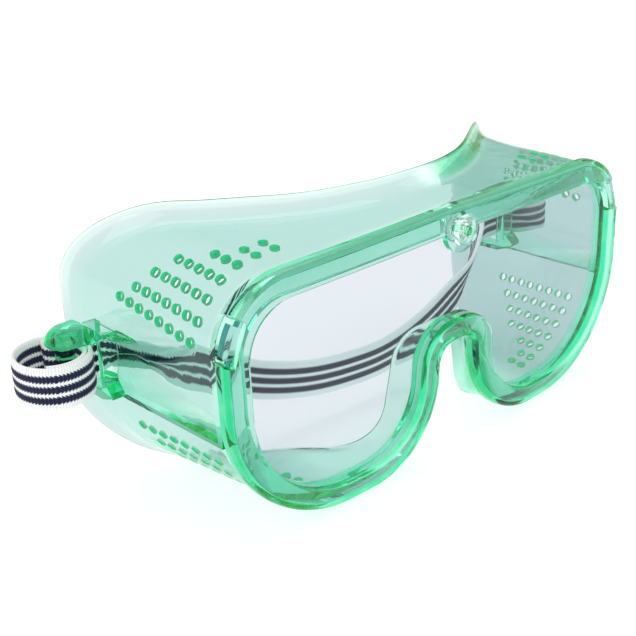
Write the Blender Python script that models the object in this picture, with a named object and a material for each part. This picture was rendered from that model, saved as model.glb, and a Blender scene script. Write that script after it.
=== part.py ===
"""Perforated safety goggles: a soft moulded frame, a clear lens with its push rivet, and a
woven elastic strap whose looped ends hang on the frame's side lugs.

The lens faces -Y, the wearer's face is on the +Y side and +Z is up. Sizes below are in
millimetres, and every mesh is written in metres.
"""
import math

import bmesh
import bpy
from mathutils import Matrix, Vector

MM = 0.001
CENTRE_Y = 36.3          # depth of the middle of the whole object behind the rim's front face

# Front outline of the rim: half of it, from the top centre round to the nose arch.
RIM_HALF_WIDTH = 80.0
RIM_HEIGHT = 73.8
RIM_CROWN = 1.7          # how much lower the top edge is at its ends
RIM_TOP_CORNER = 21.0
RIM_LOBE_RADIUS = 37.7
NOSE_FOOT_HALF = 9.75
NOSE_FOOT_RADIUS = 27.0
NOSE_TOP_HALF = 7.15
NOSE_TOP_HEIGHT = 33.7
NOSE_TOP_RADIUS = 5.5
LENS_RADIUS = 1250.0     # cylindrical curve of the lens and the rim, about a vertical axis

# Rim channel, as (inset from the outline, depth behind the front face).
LIP_INSET = 7.0
GROOVE_INSET = 2.2
GROOVE_FRONT = 2.0
GROOVE_BACK = 4.6
RIM_DEPTH = 5.2
BACK_LIP_DEPTH = 6.6
WALL_INSET = 1.3
WALL = 1.8               # thickness of the soft walls

# Crease and rear edge of the face flange.
CREASE_HALF_WIDTH = 80.6
CREASE_TOP = 74.8
CREASE_BOTTOM = 1.0
FLANGE_HALF_WIDTH = 82.0
FLANGE_TOP = 79.6
FLANGE_BOTTOM = 0.0
FLANGE_DEPTH = 6.5
FLANGE_THICKNESS = 1.5
FACE_DEPTH_CENTRE = 22.5
FACE_CURVE = 0.0080      # rear edge depth grows by this times the square of the half width

# Lens.
LENS_THICKNESS = 2.0
LENS_INSET = 2.6
LENS_FRONT = 2.3
TAB_BOTTOM = 54.4
TAB_TOP = 63.4
TAB_INSET = 0.3

# Push rivet at the top centre.
RIVET_HEIGHT = 67.0
RIVET_HEAD_RADIUS = 4.4
RIVET_STEM_RADIUS = 2.4
RIVET_BORE_RADIUS = 1.4
RIVET_TAB_RADIUS = 6.4
PIN_RADIUS = 1.05
PIN_HEAD_RADIUS = 1.7
FIT_GAP = 0.3

# Side panels, which stand further proud of the wall towards their rear end.
PANEL_BOTTOM = 29.4
PANEL_TOP = 46.8
PANEL_FRONT = 8.0
PANEL_REAR = 50.6
PANEL_FACE = (79.9, 84.6)  # half widths of the outer face at its front and rear ends
PANEL_ROOT = (77.3, 79.1)  # the same for the side inside the wall

# Strap slots and lugs. A lug is a hood over the slot, with a post that hangs from it, and a
# foot and an upright bar that frame the slot below and in front.
LUG_ROOT = 79.3
LUG_X = 92.8             # the post
LUG_Y = 57.0
POST_RADIUS = 2.6
POST_BOTTOM = 32.4
HOOD_RADIUS = 5.0
HOOD_ROOT = 84.6         # where the dome starts, out from the flat part over the slot
HOOD_FRONT = 50.4
HOOD_BOTTOM = 45.1
HOOD_TOP = 50.2
BAR_FRONT = 50.4
BAR_REAR = 52.2
BAR_OUTSIDE = 86.0
FOOT_FRONT = 46.8
FOOT_REAR = 62.0
FOOT_BOTTOM = 27.9
FOOT_TOP = 30.9
SLOT_FRONT = 52.6
SLOT_REAR = 61.6
SLOT_BOTTOM = 31.3
SLOT_TOP = 44.7

# Strap.
STRAP_WIDTH = 12.5
STRAP_THICKNESS = 1.3
STRAP_MID_HEIGHT = 38.0
LOOP_X = 96.4            # middle of the loop, which hangs off the post's centre
LOOP_RADIUS = 9.2        # to the middle of the doubled webbing

# Vent holes: holes in each row, from the side panel round the corner to the top.
VENT_ROWS = (8, 7, 6, 5, 3, 2, 2)
VENT_RADIUS = 1.35
VENT_FIRST_ROW = 17.2    # distances are measured round the wall from the middle of the side
VENT_UPPER_PITCH = 6.0
VENT_LOWER_PITCH = 5.4
VENT_PITCH = 4.3         # between the holes of one row
VENT_FRONT = 17.0
VENT_SPREAD = 0.1        # how fast the first upper row climbs towards the rear
VENT_SETBACK = 2.0       # how much further back the first upper row starts
VENT_SIDES = 8

SIDES = (("left", -1.0), ("right", 1.0))


# ---------------------------------------------------------------- outlines

def half_outline(half_width, top, bottom, corner, lobe, foot, nose, crown):
    """Half of a goggle outline as (x, z) points, from the top centre to the nose centre.

    corner and lobe are radii, foot is (half width, radius) where the nose opening starts, and
    nose is (half width, height, radius) of its arch.
    """
    corners = (
        ((half_width, top - crown), corner, 8),
        ((half_width, bottom), lobe, 12),
        ((foot[0], bottom), foot[1], 9),
        ((nose[0], nose[1]), nose[2], 6),
    )
    start, end = Vector((0.0, top)), Vector((0.0, nose[1]))
    vertices = [start] + [Vector(c[0]) for c in corners] + [end]
    straight_steps = (7, 3, 2, 3, 1)
    points = []
    last = start
    for i, (_, radius, steps) in enumerate(corners):
        before = (vertices[i] - vertices[i + 1]).normalized()
        after = (vertices[i + 2] - vertices[i + 1]).normalized()
        half_angle = before.angle(after) / 2.0
        reach = radius / math.tan(half_angle)
        tangent_in = vertices[i + 1] + before * reach
        centre = vertices[i + 1] + (before + after).normalized() * radius / math.sin(half_angle)
        for k in range(straight_steps[i]):
            points.append(last.lerp(tangent_in, k / straight_steps[i]))
        arm = tangent_in - centre
        sweep = math.pi - 2.0 * half_angle
        if before.cross(after) > 0:
            sweep = -sweep
        for k in range(steps):
            points.append(centre + rotated(arm, sweep * k / steps))
        last = centre + rotated(arm, sweep)
    for k in range(straight_steps[-1]):
        points.append(last.lerp(end, k / straight_steps[-1]))
    points.append(end)
    return points


def rotated(vector, angle):
    """A 2-D vector turned by an angle in radians."""
    c, s = math.cos(angle), math.sin(angle)
    return Vector((vector.x * c - vector.y * s, vector.x * s + vector.y * c))


def closed_outline(half):
    """The whole outline, clockwise seen from the front, from its half."""
    other = [Vector((-p.x, p.y)) for p in reversed(half[1:-1])]
    return half + other


def inward_normals(loop):
    """Unit normals that point into the lens area, one for each point of a closed outline."""
    normals = []
    for i, point in enumerate(loop):
        ahead = (loop[(i + 1) % len(loop)] - point).normalized()
        behind = (point - loop[i - 1]).normalized()
        along = (ahead + behind).normalized()
        normals.append(Vector((along.y, -along.x)))
    return normals


def rim_outline():
    return closed_outline(half_outline(
        RIM_HALF_WIDTH, RIM_HEIGHT, 0.0, RIM_TOP_CORNER, RIM_LOBE_RADIUS,
        (NOSE_FOOT_HALF, NOSE_FOOT_RADIUS), (NOSE_TOP_HALF, NOSE_TOP_HEIGHT, NOSE_TOP_RADIUS),
        RIM_CROWN))


def crease_outline():
    return closed_outline(half_outline(
        CREASE_HALF_WIDTH, CREASE_TOP, CREASE_BOTTOM, 22.0, 26.0,
        (14.0, 20.0), (9.5, 34.5, 7.5), RIM_CROWN))


def flange_outline():
    return closed_outline(half_outline(
        FLANGE_HALF_WIDTH, FLANGE_TOP, FLANGE_BOTTOM, 25.0, 24.0,
        (17.0, 17.0), (11.0, 34.5, 9.0), RIM_CROWN))


def lens_curve(x):
    """How far the lens and rim fall back at x from the middle."""
    return x * x / (2.0 * LENS_RADIUS)


def face_depth(x):
    """Depth of the flange's rear edge at x from the middle."""
    return FACE_DEPTH_CENTRE + FACE_CURVE * x * x


# ---------------------------------------------------------------- mesh helpers

def place(x, y, z):
    """A point in metres, from depth measured behind the rim's front face, in millimetres."""
    return Vector((x, y - CENTRE_Y, z)) * MM


def material(name, colour, roughness, alpha=1.0):
    mat = bpy.data.materials.new(name)
    mat.use_nodes = True
    shader = mat.node_tree.nodes["Principled BSDF"]
    shader.inputs["Base Color"].default_value = (*colour, 1.0)
    shader.inputs["Roughness"].default_value = roughness
    shader.inputs["Metallic"].default_value = 0.0
    shader.inputs["Alpha"].default_value = alpha
    mat.diffuse_color = (*colour, alpha)
    return mat


def new_object(name, bm, mat, origin=(0.0, CENTRE_Y, 0.0)):
    """A smooth-shaded object from a bmesh whose faces are turned outwards.

    The object's own origin goes to a point given in millimetres.
    """
    bmesh.ops.recalc_face_normals(bm, faces=bm.faces)
    mesh = bpy.data.meshes.new(name)
    bm.to_mesh(mesh)
    bm.free()
    mesh.materials.append(mat)
    mesh.shade_smooth()
    mesh.set_sharp_from_angle(angle=math.radians(35.0))
    obj = bpy.data.objects.new(name, mesh)
    obj.location = place(*origin)
    mesh.transform(Matrix.Translation(-obj.location))
    bpy.context.scene.collection.objects.link(obj)
    return obj


def add_loft(bm, rings, closed=True):
    """Skins rings of points, which all have the same number of points.

    A closed loft joins the last ring to the first. An open one gets a flat cap at each end.
    """
    rows = [[bm.verts.new(p) for p in ring] for ring in rings]
    count = len(rows[0])
    pairs = list(zip(rows, rows[1:]))
    if closed:
        pairs.append((rows[-1], rows[0]))
    for one, two in pairs:
        for k in range(count):
            after = (k + 1) % count
            bm.faces.new((one[k], one[after], two[after], two[k]))
    if not closed:
        bm.faces.new(reversed(rows[0]))
        bm.faces.new(rows[-1])


def add_block(bm, centre, half, matrix=None):
    """A box from its centre and half sizes in millimetres, turned by matrix about its centre."""
    made = bmesh.ops.create_cube(bm, size=2.0)["verts"]
    turn = matrix or Matrix.Identity(3)
    for vert in made:
        corner = Vector((vert.co.x * half[0], vert.co.y * half[1], vert.co.z * half[2]))
        vert.co = place(*(Vector(centre) + turn @ corner))
    return made


def add_prism(bm, outline, bottom, top):
    """A vertical prism from an outline of (x, depth) points, between two heights."""
    rings = [[place(x, y, z) for x, y in outline] for z in (bottom, top)]
    add_loft(bm, rings, closed=False)


def add_rod(bm, centre, direction, radius, half_length, sides):
    """A round rod along direction, centred on a point."""
    turn = Vector((0.0, 0.0, 1.0)).rotation_difference(Vector(direction)).to_matrix()
    rings = []
    for end in (-half_length, half_length):
        ring = []
        for k in range(sides):
            angle = 2.0 * math.pi * (k + 0.5) / sides
            spoke = Vector((radius * math.cos(angle), radius * math.sin(angle), end))
            ring.append(place(*(Vector(centre) + turn @ spoke)))
        rings.append(ring)
    add_loft(bm, rings, closed=False)


def boolean(target, bm, operation, name):
    """Cuts or joins a bmesh tool to an object, and leaves the result in its mesh."""
    bmesh.ops.recalc_face_normals(bm, faces=bm.faces)
    mesh = bpy.data.meshes.new(name)
    bm.to_mesh(mesh)
    bm.free()
    tool = bpy.data.objects.new(name, mesh)
    tool.hide_render = True
    tool.display_type = "WIRE"
    bpy.context.scene.collection.objects.link(tool)
    modifier = target.modifiers.new(name, "BOOLEAN")
    modifier.operation = operation
    modifier.solver = "EXACT"
    modifier.use_self = operation == "UNION"
    modifier.object = tool


# ---------------------------------------------------------------- frame body

def frame_ring(rim, rim_normal, crease, crease_normal, flange, flange_normal):
    """One cross-section of the frame: rim channel, side wall and face flange."""
    def on_rim(inset, depth):
        spot = rim + rim_normal * inset
        return place(spot.x, depth + lens_curve(spot.x), spot.y)

    def on_wall(share, inset):
        start = rim + rim_normal * (WALL_INSET + inset)
        end = crease + crease_normal * inset
        spot = start.lerp(end, share)
        front = RIM_DEPTH + 1.2 + lens_curve(start.x)
        rear = face_depth(end.x) - FLANGE_DEPTH
        return place(spot.x, front + (rear - front) * share, spot.y)

    def on_flange(inset, back):
        spot = flange + flange_normal * inset
        return place(spot.x, face_depth(spot.x) - back, spot.y)

    channel_mouth = [
        on_rim(LIP_INSET, GROOVE_FRONT), on_rim(LIP_INSET, 0.5), on_rim(LIP_INSET - 0.5, 0.0),
    ]
    outside = [
        on_rim(2.4, 0.0), on_rim(0.7, 0.7), on_rim(0.0, 2.4), on_rim(0.0, RIM_DEPTH - 0.4),
        on_rim(0.4, RIM_DEPTH), on_rim(WALL_INSET, RIM_DEPTH + 0.2),
        on_wall(0.05, 0.0), on_wall(0.5, 0.0), on_wall(1.0, 0.0),
    ]
    rear_edge = [
        on_flange(0.0, 0.7), on_flange(0.5, 0.0), on_flange(FLANGE_THICKNESS, 0.4),
    ]
    inside = [on_wall(1.0, WALL), on_wall(0.5, WALL), on_wall(0.05, WALL)]
    back_lip = [
        on_rim(LIP_INSET, BACK_LIP_DEPTH), on_rim(LIP_INSET, GROOVE_BACK),
        on_rim(GROOVE_INSET, GROOVE_BACK), on_rim(GROOVE_INSET, GROOVE_FRONT),
    ]
    return channel_mouth + outside + rear_edge + inside + back_lip


def frame_shell():
    """The swept shell of the frame, before its holes, panels and lugs."""
    outlines = (rim_outline(), crease_outline(), flange_outline())
    normals = [inward_normals(loop) for loop in outlines]
    bm = bmesh.new()
    rings = []
    for i in range(len(outlines[0])):
        stations = []
        for loop, normal in zip(outlines, normals):
            stations += [loop[i], normal[i]]
        rings.append(frame_ring(*stations))
    add_loft(bm, rings)
    return bm


def side_panel(bm, side):
    """The flat temple panel, a little proud of the wall, between the rim and the flange."""
    outline = [(side * PANEL_FACE[0], PANEL_FRONT), (side * PANEL_FACE[1], PANEL_REAR),
               (side * PANEL_ROOT[1], PANEL_REAR), (side * PANEL_ROOT[0], PANEL_FRONT)]
    add_prism(bm, outline, PANEL_BOTTOM, PANEL_TOP)


def hood_outline(side):
    """Plan of a lug's domed hood, from its root out round its end, as (x, depth) points."""
    points = [(side * HOOD_ROOT, HOOD_FRONT), (side * (HOOD_ROOT + 2.5), HOOD_FRONT)]
    for k in range(11):
        angle = math.radians(-85.0 + 175.0 * k / 10.0)
        points.append((side * (LUG_X + HOOD_RADIUS * math.cos(angle)),
                       LUG_Y + HOOD_RADIUS * math.sin(angle)))
    points.append((side * HOOD_ROOT, FOOT_REAR))
    return points


def hood_rings(side):
    """The hood from its underside to the top of its dome."""
    outline = [Vector(p) for p in hood_outline(side)]
    middle = Vector((side * (HOOD_ROOT + LUG_X + HOOD_RADIUS) / 2.0, LUG_Y))
    rise = HOOD_TOP - HOOD_BOTTOM
    rings = []
    for step in range(6):
        angle = math.radians(15.0 * step)
        height = HOOD_BOTTOM + rise * math.sin(angle)
        share = 1.0 - math.cos(angle)
        rings.append([place(*p.lerp(middle, share), height) for p in outline])
    return rings


def post_rings(side):
    """The post from its rounded lower end up into the hood."""
    rings = []
    for height, radius in ((POST_BOTTOM, 0.5), (POST_BOTTOM + 0.5, 0.8), (POST_BOTTOM + 1.6, 1.0),
                           (HOOD_TOP - 2.5, 1.0)):
        ring = []
        for k in range(12):
            angle = 2.0 * math.pi * k / 12
            ring.append(place(side * LUG_X + radius * POST_RADIUS * math.cos(angle),
                              LUG_Y + radius * POST_RADIUS * math.sin(angle), height))
        rings.append(ring)
    return rings


def bar_rings(side):
    """The upright bar and the foot, whose front end tapers into the panel's lower edge."""
    top = HOOD_BOTTOM + 0.5
    profile = (
        (BAR_FRONT, top), (BAR_FRONT, FOOT_TOP + 3.2), (FOOT_FRONT, FOOT_TOP),
        (FOOT_FRONT, FOOT_TOP - 1.2), (BAR_REAR, FOOT_BOTTOM), (FOOT_REAR, FOOT_BOTTOM),
        (FOOT_REAR, FOOT_TOP), (BAR_REAR, FOOT_TOP), (BAR_REAR, top),
    )
    return [[place(side * x, y, z) for y, z in profile] for x in (LUG_ROOT, BAR_OUTSIDE)]


def side_lug(bm, side):
    """Hood, post, bar and foot that hold the strap's loop."""
    ledge = [(side * LUG_ROOT, HOOD_FRONT), (side * (HOOD_ROOT + 1.5), HOOD_FRONT),
             (side * (HOOD_ROOT + 1.5), FOOT_REAR), (side * LUG_ROOT, FOOT_REAR)]
    add_prism(bm, ledge, HOOD_BOTTOM, PANEL_TOP - 0.1)
    add_loft(bm, hood_rings(side), closed=False)
    add_loft(bm, post_rings(side), closed=False)
    add_loft(bm, bar_rings(side), closed=False)


def rivet_tab(bm):
    """The half-round tab below the front lip that the rivet goes through."""
    points = []
    for k in range(15):
        angle = math.pi + math.pi * k / 14.0
        points.append((RIVET_TAB_RADIUS * math.cos(angle),
                       RIVET_HEIGHT + RIVET_TAB_RADIUS * math.sin(angle)))
    points += [(RIVET_TAB_RADIUS, RIVET_HEIGHT + 2.0), (-RIVET_TAB_RADIUS, RIVET_HEIGHT + 2.0)]
    rings = [[place(x, y, z) for x, z in points] for y in (0.1, GROOVE_FRONT - 0.05)]
    add_loft(bm, rings, closed=False)


def wall_section(depth):
    """The right side wall cut at a depth: (point, inward normal) pairs from the top centre down."""
    rim, crease = rim_outline(), crease_outline()
    rim_normals, crease_normals = inward_normals(rim), inward_normals(crease)
    section = []
    for i in range(len(rim) // 2):
        start = rim[i] + rim_normals[i] * WALL_INSET
        front = RIM_DEPTH + lens_curve(start.x)
        rear = face_depth(crease[i].x) - FLANGE_DEPTH
        share = min((depth - front) / (rear - front), 1.0)
        inward = rim_normals[i].lerp(crease_normals[i], share).normalized()
        section.append((start.lerp(crease[i], share), inward))
    return section


def along_section(section, distance):
    """The place and inward normal at a distance along a list of (point, normal) pairs."""
    for (one, inward_one), (two, inward_two) in zip(section, section[1:]):
        step = (two - one).length
        if step >= distance:
            share = distance / step
            return one.lerp(two, share), inward_one.lerp(inward_two, share)
        distance -= step
    return section[-1]


def vent_spot(upper, distance, depth):
    """A vent's place and inward direction, at a distance round the wall from its middle."""
    section = wall_section(depth)
    middle = next(i for i, (p, _) in enumerate(section) if p.y < RIM_HEIGHT / 2.0)
    below = RIM_HEIGHT / 2.0 - section[middle][0].y
    if upper:
        spot, inward = along_section(section[middle::-1], distance + below)
    else:
        spot, inward = along_section(section[middle:], distance - below)
    return Vector((spot.x, depth, spot.y)), inward


def vent_positions():
    """Places and inward directions of every vent hole in the right half of the wall.

    The rows run from front to back. They start above and below the temple panel and follow
    the wall round its corners, getting shorter as they go.
    """
    holes = []
    for row, count in enumerate(VENT_ROWS):
        for k in range(count):
            depth = VENT_FRONT + VENT_PITCH * k
            spread = VENT_SPREAD * VENT_PITCH * k / (row + 1)
            setback = VENT_SETBACK / (row + 1) ** 2
            distance = VENT_FIRST_ROW + spread + VENT_UPPER_PITCH * row
            holes.append(vent_spot(True, distance, depth + setback))
            holes.append(vent_spot(False, VENT_FIRST_ROW + 1.0 + VENT_LOWER_PITCH * row, depth))
    return holes


def vent_tool():
    bm = bmesh.new()
    for centre, inward in vent_positions():
        for _, side in SIDES:
            spot = (side * centre.x, centre.y, centre.z)
            add_rod(bm, spot, (side * inward.x, 0.0, inward.y), VENT_RADIUS, 4.5, VENT_SIDES)
    return bm


def opening_tool():
    """Strap slots, tab windows and the rivet's hole and clearance."""
    bm = bmesh.new()
    slot_mid = ((SLOT_FRONT + SLOT_REAR) / 2.0, (SLOT_BOTTOM + SLOT_TOP) / 2.0)
    slot_half = ((SLOT_REAR - SLOT_FRONT) / 2.0, (SLOT_TOP - SLOT_BOTTOM) / 2.0)
    corner_x = RIM_HALF_WIDTH - RIM_TOP_CORNER
    corner_z = RIM_HEIGHT - RIM_CROWN - RIM_TOP_CORNER
    tab_angle = math.asin(((TAB_BOTTOM + TAB_TOP) / 2.0 - corner_z) / RIM_TOP_CORNER)
    for _, side in SIDES:
        add_block(bm, (side * LUG_ROOT, *slot_mid), (3.0, *slot_half))
        reach = RIM_TOP_CORNER + 1.0
        spot = (side * (corner_x + reach * math.cos(tab_angle)), 5.6,
                corner_z + reach * math.sin(tab_angle))
        turn = Matrix.Rotation(-side * tab_angle, 3, "Y")
        add_block(bm, spot, (4.3, 3.6, 5.9), turn)
    add_rod(bm, (0.0, 1.0, RIVET_HEIGHT), (0, 1, 0), RIVET_STEM_RADIUS + FIT_GAP, 1.5, 16)
    add_rod(bm, (0.0, 6.0, RIVET_HEIGHT), (0, 1, 0), RIVET_HEAD_RADIUS + 0.6, 1.6, 16)
    return bm


def make_frame(mat):
    frame = new_object("frame_body", frame_shell(), mat)
    solids = bmesh.new()
    for _, side in SIDES:
        side_panel(solids, side)
        side_lug(solids, side)
    rivet_tab(solids)
    boolean(frame, solids, "UNION", "frame_additions")
    boolean(frame, opening_tool(), "DIFFERENCE", "frame_openings")
    boolean(frame, vent_tool(), "DIFFERENCE", "frame_vents")
    return frame


# ---------------------------------------------------------------- lens and rivet

def lens_outline():
    """The lens's edge, inside the groove, with a tab that reaches out at each upper corner."""
    loop = rim_outline()
    normals = inward_normals(loop)
    in_tab = [TAB_BOTTOM < p.y < TAB_TOP and abs(p.x) > RIM_HALF_WIDTH / 2.0 for p in loop]
    points = []
    for i, (point, normal) in enumerate(zip(loop, normals)):
        inner = point + normal * LENS_INSET
        outer = point + normal * TAB_INSET
        if not in_tab[i]:
            points.append(inner)
        elif not in_tab[i - 1]:
            points += [inner, outer]
        elif not in_tab[(i + 1) % len(loop)]:
            points += [outer, inner]
        else:
            points.append(outer)
    return points


def make_lens(mat):
    bm = bmesh.new()
    bm.faces.new([bm.verts.new((p.x * MM, 0.0, p.y * MM)) for p in lens_outline()])
    step = 8.0
    for k in range(-9, 10):
        geometry = bm.verts[:] + bm.edges[:] + bm.faces[:]
        bmesh.ops.bisect_plane(bm, geom=geometry, dist=1e-7,
                               plane_co=(k * step * MM, 0, 0), plane_no=(1, 0, 0))
    made = bmesh.ops.extrude_face_region(bm, geom=bm.faces[:])["geom"]
    back = {item for item in made if isinstance(item, bmesh.types.BMVert)}
    for vert in bm.verts:
        depth = LENS_FRONT + (LENS_THICKNESS if vert in back else 0.0)
        x = vert.co.x / MM
        vert.co.y = (depth + lens_curve(x) - CENTRE_Y) * MM
    lens = new_object("lens", bm, mat)
    hole = bmesh.new()
    add_rod(hole, (0.0, 3.3, RIVET_HEIGHT), (0, 1, 0), RIVET_STEM_RADIUS + FIT_GAP, 3.0, 16)
    boolean(lens, hole, "DIFFERENCE", "lens_rivet_hole")
    return lens


def turned(name, profile, segments, mat):
    """A ring turned about the rivet's axis from a closed profile of (radius, depth) points."""
    bm = bmesh.new()
    rings = []
    for k in range(segments):
        angle = 2.0 * math.pi * k / segments
        rings.append([
            place(r * math.cos(angle), y, RIVET_HEIGHT + r * math.sin(angle)) for r, y in profile
        ])
    add_loft(bm, rings)
    return new_object(name, bm, mat, (0.0, 0.0, RIVET_HEIGHT))


def make_rivet(mat):
    """The clear collar: a domed head, a stem through lip and lens, and a foot behind the lens."""
    back = LENS_FRONT + LENS_THICKNESS + FIT_GAP
    profile = (
        (RIVET_BORE_RADIUS, -1.7), (2.6, -1.6), (3.8, -1.2), (RIVET_HEAD_RADIUS, -0.6),
        (RIVET_HEAD_RADIUS, -FIT_GAP), (RIVET_STEM_RADIUS, -FIT_GAP), (RIVET_STEM_RADIUS, back),
        (4.0, back), (3.6, back + 1.1), (RIVET_BORE_RADIUS, back + 1.2),
    )
    return turned("lens_rivet", profile, 20, mat)


def make_pin(mat):
    """The rivet's centre pin, which is pulled forwards to free the lens."""
    bm = bmesh.new()
    rings = []
    for radius, depth in ((PIN_HEAD_RADIUS - 0.3, -3.0), (PIN_HEAD_RADIUS, -2.7),
                          (PIN_HEAD_RADIUS, -2.0), (PIN_RADIUS, -2.0), (PIN_RADIUS, 5.2),
                          (PIN_RADIUS - 0.3, 5.6)):
        ring = []
        for k in range(12):
            angle = 2.0 * math.pi * k / 12
            ring.append(place(radius * math.cos(angle), depth,
                              RIVET_HEIGHT + radius * math.sin(angle)))
        rings.append(ring)
    add_loft(bm, rings, closed=False)
    return new_object("rivet_pin", bm, mat, (0.0, 0.0, RIVET_HEIGHT))


# ---------------------------------------------------------------- strap

def strap_route():
    """Middle line of the strap between its two slots, as (x, depth, height) points.

    It hangs in one slack curve across the face opening, and stands upright at its ends.
    """
    return [Vector(p) for p in (
        (-84.9, 57.0, 38.0), (-79.5, 56.9, 38.0), (-76.0, 56.3, 37.2), (-70.0, 55.3, 34.2),
        (-62.0, 54.0, 30.0), (-50.0, 52.0, 24.0), (-36.0, 48.0, 17.8), (-20.0, 45.0, 13.6),
        (-4.0, 43.0, 12.0), (12.0, 42.0, 12.3), (28.0, 41.5, 16.5), (43.0, 42.0, 23.2),
        (54.0, 44.5, 29.0), (63.0, 49.0, 34.0), (70.0, 53.6, 36.9), (76.0, 56.2, 38.0),
        (79.5, 56.9, 38.0), (84.9, 57.0, 38.0),
    )]


def smooth_line(points, steps):
    """Points along a Catmull-Rom curve through the given ones."""
    ends = [points[0] * 2 - points[1]] + points + [points[-1] * 2 - points[-2]]
    line = []
    for a, b, c, d in zip(ends, ends[1:], ends[2:], ends[3:]):
        for k in range(steps):
            t = k / steps
            line.append(0.5 * (b * 2 + (c - a) * t + (a * 2 - b * 5 + c * 4 - d) * t * t
                               + (b * 3 - a - c * 3 + d) * t * t * t))
    line.append(points[-1])
    return line


def webbing_ring(spot, along, thickness):
    """Cross-section of upright webbing that runs along a direction."""
    out = Vector((along.y, -along.x, 0.0)).normalized() * thickness / 2.0
    up = along.cross(out).normalized() * STRAP_WIDTH / 2.0
    if up.z < 0:
        up = -up
    return [place(*(spot + a * out + b * up)) for a, b in ((1, 1), (1, -1), (-1, -1), (-1, 1))]


def make_band(mat):
    line = smooth_line(strap_route(), 2)
    bm = bmesh.new()
    rings = []
    for i, spot in enumerate(line):
        along = (line[min(i + 1, len(line) - 1)] - line[max(i - 1, 0)]).normalized()
        rings.append(webbing_ring(spot, along, STRAP_THICKNESS))
    add_loft(bm, rings, closed=False)
    return new_object("strap_band", bm, mat)


def loop_spot(side, angle, radius):
    """A point round a loop's middle. Angle 0 points outwards and 90 degrees rearwards."""
    return Vector((side * (LOOP_X + radius * math.cos(angle)), LUG_Y + radius * math.sin(angle),
                   STRAP_MID_HEIGHT))


def make_loop(name, side, mat):
    """The doubled end of the strap: a ring of webbing that stands loose round the post."""
    bm = bmesh.new()
    rings = []
    count = 32
    for k in range(count):
        angle = 2.0 * math.pi * k / count
        ring = []
        for radius, height in ((1, 1), (1, -1), (-1, -1), (-1, 1)):
            spot = loop_spot(side, angle, LOOP_RADIUS + radius * STRAP_THICKNESS)
            spot.z += height * STRAP_WIDTH / 2.0
            ring.append(place(*spot))
        rings.append(ring)
    add_loft(bm, rings)
    return new_object(name, bm, mat, (side * LUG_X, LUG_Y, STRAP_MID_HEIGHT))


def make_bar_tack(name, side, mat):
    """The block of stitching that closes the loop, on the inner face of its front."""
    bm = bmesh.new()
    radius = LOOP_RADIUS - STRAP_THICKNESS - FIT_GAP
    rings = []
    for k in range(4):
        angle = math.radians(-128.0 + 10.0 * k)
        ring = []
        for depth, height in ((0.0, 5.0), (0.0, -5.0), (-0.5, -5.0), (-0.5, 5.0)):
            spot = loop_spot(side, angle, radius + depth)
            spot.z += height
            ring.append(place(*spot))
        rings.append(ring)
    add_loft(bm, rings, closed=False)
    return new_object(name, bm, mat, (side * LUG_X, LUG_Y, STRAP_MID_HEIGHT))


# ---------------------------------------------------------------- assembly

def main():
    for obj in list(bpy.data.objects):
        bpy.data.objects.remove(obj, do_unlink=True)
    make_frame(material("green_pvc", (0.55, 0.86, 0.74), 0.2, 0.6))
    make_lens(material("clear_lens", (0.90, 0.92, 0.96), 0.05, 0.3))
    make_rivet(material("clear_rivet", (0.92, 0.95, 0.95), 0.08, 0.5))
    make_pin(material("green_pin", (0.10, 0.62, 0.36), 0.25))
    make_band(material("striped_webbing", (0.62, 0.63, 0.68), 0.9))
    for name, side in SIDES:
        make_loop("strap_loop_" + name, side,
                  material("striped_webbing_" + name, (0.62, 0.63, 0.68), 0.9))
        make_bar_tack("bar_tack_" + name, side,
                      material("white_thread_" + name, (0.9, 0.9, 0.88), 0.8))


main()
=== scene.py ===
"""Looks for the perforated safety goggles: moulded green frame, clear lens, rivet, striped strap.

Shapes are worked out in millimetres, with depth measured behind the rim's front face, and
placed in the frame's metres by place().
"""
import math

import bmesh
import bpy
from mathutils import Matrix, Vector, kdtree, noise


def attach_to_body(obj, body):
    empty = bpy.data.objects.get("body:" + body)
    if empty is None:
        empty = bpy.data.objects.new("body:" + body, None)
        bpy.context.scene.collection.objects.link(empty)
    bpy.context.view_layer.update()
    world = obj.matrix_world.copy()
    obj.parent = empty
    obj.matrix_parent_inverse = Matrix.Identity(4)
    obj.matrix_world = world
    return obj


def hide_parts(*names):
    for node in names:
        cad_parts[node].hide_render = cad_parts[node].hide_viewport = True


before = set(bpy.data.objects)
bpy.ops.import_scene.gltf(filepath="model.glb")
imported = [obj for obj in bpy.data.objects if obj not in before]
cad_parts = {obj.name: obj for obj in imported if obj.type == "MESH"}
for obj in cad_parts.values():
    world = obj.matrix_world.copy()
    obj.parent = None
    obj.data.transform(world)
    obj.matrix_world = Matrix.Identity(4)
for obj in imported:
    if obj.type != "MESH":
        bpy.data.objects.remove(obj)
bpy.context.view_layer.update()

MM = 0.001
CENTRE_Y = 36.3
SIDES = (("left", -1.0), ("right", 1.0))

# Rim and wall.
RIM_HALF_WIDTH = 80.0
RIM_HEIGHT = 73.8
RIM_CROWN = 1.7
RIM_TOP_CORNER = 21.0
LENS_RADIUS = 1250.0
LIP_INSET = 7.0
GROOVE_INSET = 2.2
GROOVE_FRONT = 2.0
GROOVE_BACK = 4.6
RIM_DEPTH = 5.2
BACK_LIP_DEPTH = 6.6
WALL_INSET = 1.3
WALL = 1.7
CREASE_TOP = 74.8
FLANGE_TOP = 79.6
FLANGE_DEPTH = 6.5
FLANGE_THICKNESS = 1.5
FACE_DEPTH_CENTRE = 22.5
FACE_CURVE = 0.0080
NOSE_RELIEF = 8.0        # how much shallower the rear edge is round the nose
WAVINESS = 0.45          # unevenness of the soft walls, at its most
WAVE_LENGTH = 21.0
WAVE_SEED = 7            # any number but 0, which would seed the waves from the clock
FINE = 4                 # outline points for each step of the plain frame's outline

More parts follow.
